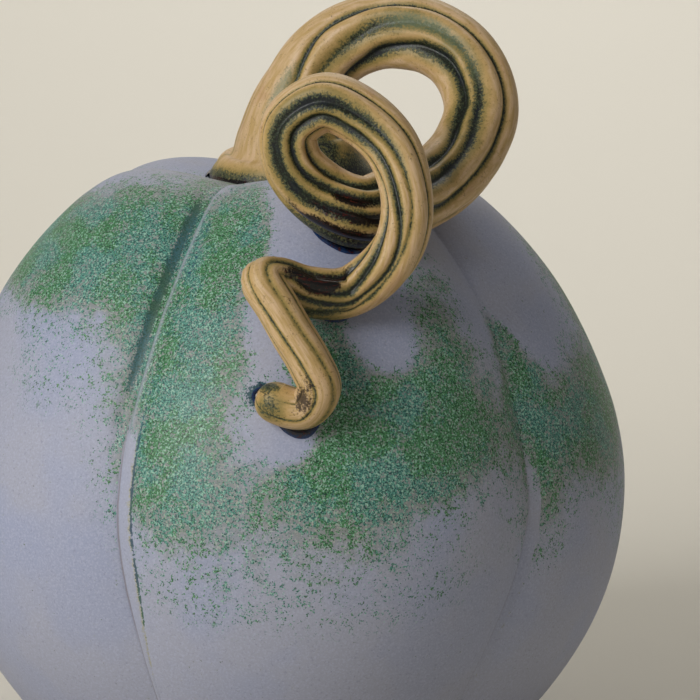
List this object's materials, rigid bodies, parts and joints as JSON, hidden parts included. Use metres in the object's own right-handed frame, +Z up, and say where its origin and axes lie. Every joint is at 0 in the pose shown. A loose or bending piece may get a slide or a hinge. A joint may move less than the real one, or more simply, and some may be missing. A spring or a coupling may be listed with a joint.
{
  "type": "glazed ceramic squash with a coiled stem",
  "caption": "Hollow lobed stoneware squash with a flat base and a fluted, forward-coiling clay stem, a free-standing ornament.",
  "frame": {"origin": "on the surface it stands on, under the middle of the whole object's bounding box", "axes": "+Z up, -Y towards the front, where the stem's loops and tail hang, +X to the right as seen from the front"},
  "size_m": [0.1966, 0.2033, 0.2169],
  "materials": {
    "body_glaze": "matte lavender glaze with green speckle",
    "stem_glaze": "satin ochre glaze, dark in the flutes"
  },
  "bodies": {
    "root": {"squash_body": "body_glaze", "coiled_stem": "stem_glaze"}
  },
  "joints": []
}
